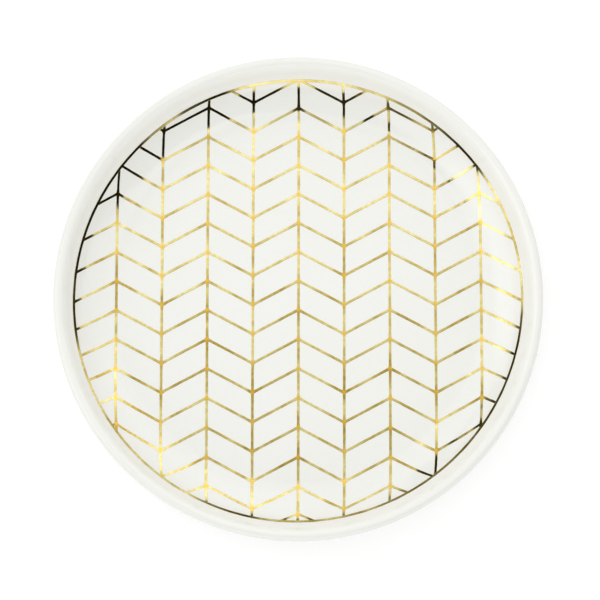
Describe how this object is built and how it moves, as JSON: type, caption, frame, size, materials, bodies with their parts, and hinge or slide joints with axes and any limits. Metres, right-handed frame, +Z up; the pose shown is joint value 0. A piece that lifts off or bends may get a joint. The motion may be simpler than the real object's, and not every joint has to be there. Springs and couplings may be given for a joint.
{
  "type": "ring dish",
  "caption": "Round shallow porcelain ring dish on a foot ring, with a rounded rim and a printed gold chevron pattern inside a gold border ring.",
  "frame": {"origin": "centre of the foot ring's resting face, on the dish's axis", "axes": "+Z up along the dish's axis, +Y along the pattern's upright lines towards the peaks of the chevrons, +X to the right"},
  "size_m": [0.102, 0.102, 0.013],
  "materials": {
    "bisque_porcelain": "unglazed porcelain, fine and matt, bare only on the foot ring",
    "clear_glaze": "clear gloss glaze over white porcelain",
    "bright_gold": "fired bright gold print, mirror gloss"
  },
  "bodies": {
    "root": {"porcelain_body": "bisque_porcelain", "upper_glaze": "clear_glaze", "base_glaze": "clear_glaze", "gold_border_ring": "bright_gold", "gold_chevron_lattice": "bright_gold"}
  },
  "joints": []
}
